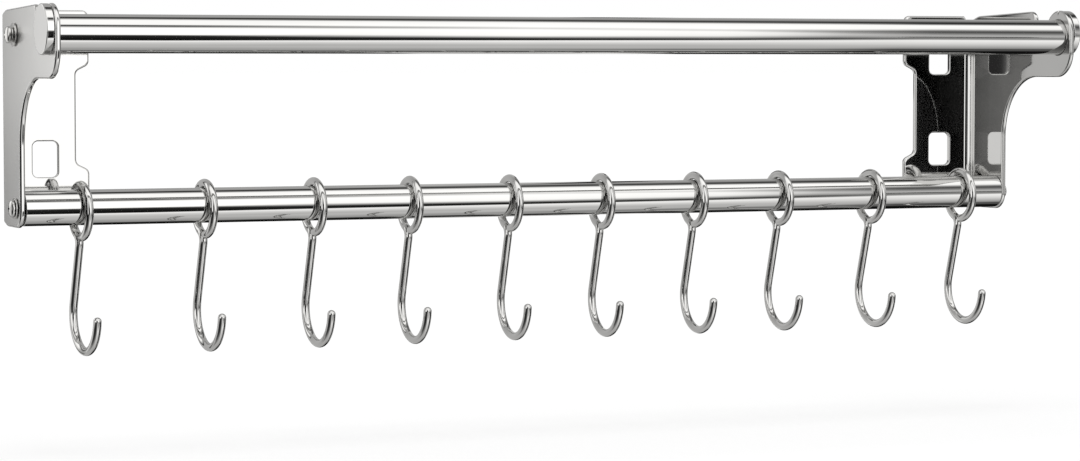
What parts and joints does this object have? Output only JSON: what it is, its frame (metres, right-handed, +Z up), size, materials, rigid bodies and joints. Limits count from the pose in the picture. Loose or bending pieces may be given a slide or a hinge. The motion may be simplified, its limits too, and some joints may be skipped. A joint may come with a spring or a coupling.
{
  "type": "wall utensil rack",
  "caption": "Wall rack of polished steel: folded side brackets carry a towel rail at the front and a lower rail along which loose wire hooks hang.",
  "frame": {"origin": "on the wall, midway between the brackets and level with the hook rail's axis", "axes": "+X along the rails from the left bracket to the right one, +Y into the wall, +Z up; the wall is the plane y = 0"},
  "size_m": [0.6128, 0.1146, 0.1857],
  "materials": {
    "satin_sheet_steel": "polished stainless sheet, satin on the outside",
    "polished_tube_steel": "mirror polished",
    "polished_wire_steel": "mirror polished",
    "polished_cap_steel": "polished",
    "fastener_steel": "bright",
    "threaded_plug_steel": "turned"
  },
  "bodies": {
    "rack": {"hook_rail": "polished_tube_steel", "left_bracket": "satin_sheet_steel", "left_end_cap": "polished_cap_steel", "left_lock_washer": "fastener_steel", "left_lower_screw": "fastener_steel", "left_lower_washer": "fastener_steel", "left_rail_plug": "threaded_plug_steel", "left_upper_nut": "fastener_steel", "left_upper_screw": "fastener_steel", "left_upper_washer": "fastener_steel", "right_bracket": "satin_sheet_steel", "right_end_cap": "polished_cap_steel", "right_lock_washer": "fastener_steel", "right_lower_screw": "fastener_steel", "right_lower_washer": "fastener_steel", "right_rail_plug": "threaded_plug_steel", "right_upper_nut": "fastener_steel", "right_upper_screw": "fastener_steel", "right_upper_washer": "fastener_steel", "towel_rail": "polished_tube_steel"},
    "hook_01": {"hook_01": "polished_wire_steel"},
    "hook_02": {"hook_02": "polished_wire_steel"},
    "hook_03": {"hook_03": "polished_wire_steel"},
    "hook_04": {"hook_04": "polished_wire_steel"},
    "hook_05": {"hook_05": "polished_wire_steel"},
    "hook_06": {"hook_06": "polished_wire_steel"},
    "hook_07": {"hook_07": "polished_wire_steel"},
    "hook_08": {"hook_08": "polished_wire_steel"},
    "hook_09": {"hook_09": "polished_wire_steel"},
    "hook_10": {"hook_10": "polished_wire_steel"}
  },
  "joints": [
    {"name": "hook_01_swing", "type": "hinge", "parent": "rack", "child": "hook_01", "pos_m": [-0.266, -0.0325, 0], "axis": [-1, 0, 0], "range_deg": [-13.5, 181]},
    {"name": "hook_02_swing", "type": "hinge", "parent": "rack", "child": "hook_02", "pos_m": [-0.1971, -0.0325, 0], "axis": [-1, 0, 0], "range_deg": [-16.5, 184]},
    {"name": "hook_03_swing", "type": "hinge", "parent": "rack", "child": "hook_03", "pos_m": [-0.1347, -0.0325, 0], "axis": [-1, 0, 0], "range_deg": [-16.5, 184]},
    {"name": "hook_04_swing", "type": "hinge", "parent": "rack", "child": "hook_04", "pos_m": [-0.0782, -0.0325, 0], "axis": [-1, 0, 0], "range_deg": [-16.5, 184]},
    {"name": "hook_05_swing", "type": "hinge", "parent": "rack", "child": "hook_05", "pos_m": [-0.0181, -0.0325, 0], "axis": [-1, 0, 0], "range_deg": [-16.5, 184]},
    {"name": "hook_06_swing", "type": "hinge", "parent": "rack", "child": "hook_06", "pos_m": [0.0385, -0.0325, 0], "axis": [-1, 0, 0], "range_deg": [-16.5, 184]},
    {"name": "hook_07_swing", "type": "hinge", "parent": "rack", "child": "hook_07", "pos_m": [0.0972, -0.0325, 0], "axis": [-1, 0, 0], "range_deg": [-16.5, 184]},
    {"name": "hook_08_swing", "type": "hinge", "parent": "rack", "child": "hook_08", "pos_m": [0.1522, -0.0325, 0], "axis": [-1, 0, 0], "range_deg": [-16.5, 184]},
    {"name": "hook_09_swing", "type": "hinge", "parent": "rack", "child": "hook_09", "pos_m": [0.2131, -0.0325, 0], "axis": [-1, 0, 0], "range_deg": [-16.5, 184]},
    {"name": "hook_10_swing", "type": "hinge", "parent": "rack", "child": "hook_10", "pos_m": [0.2743, -0.0325, 0], "axis": [-1, 0, 0], "range_deg": [-13.5, 181]}
  ]
}
